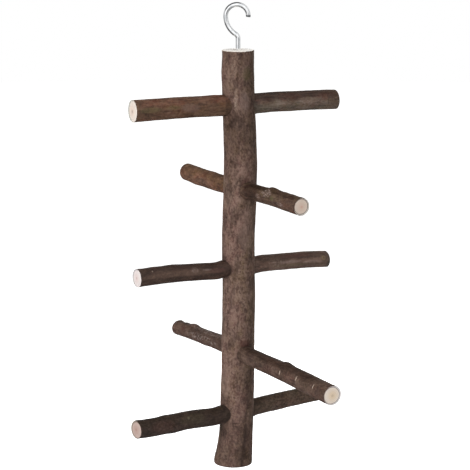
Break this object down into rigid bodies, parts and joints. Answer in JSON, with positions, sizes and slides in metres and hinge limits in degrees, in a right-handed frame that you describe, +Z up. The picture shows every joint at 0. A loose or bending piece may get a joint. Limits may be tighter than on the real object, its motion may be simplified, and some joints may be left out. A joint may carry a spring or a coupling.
{
  "type": "bird ladder",
  "caption": "Hanging climbing ladder for cage birds: bark-on perches pushed crosswise through one upright branch, with an open screw hook in its top.",
  "frame": {"origin": "the point inside the top of the hook where the bar of a cage bears", "axes": "+Z up along the upright branch; X along the perches numbered odd, whose near ends point to -X; Y along the perches numbered even, whose near ends point to -Y"},
  "size_m": [0.2372, 0.3265, 0.4803],
  "materials": {
    "bark_wood": "matte",
    "bright_zinc": "gloss"
  },
  "bodies": {
    "root": {"trunk": "bark_wood", "perch_1": "bark_wood", "perch_2": "bark_wood", "perch_3": "bark_wood", "perch_4": "bark_wood", "perch_5": "bark_wood", "screw_hook": "bright_zinc"}
  },
  "joints": []
}
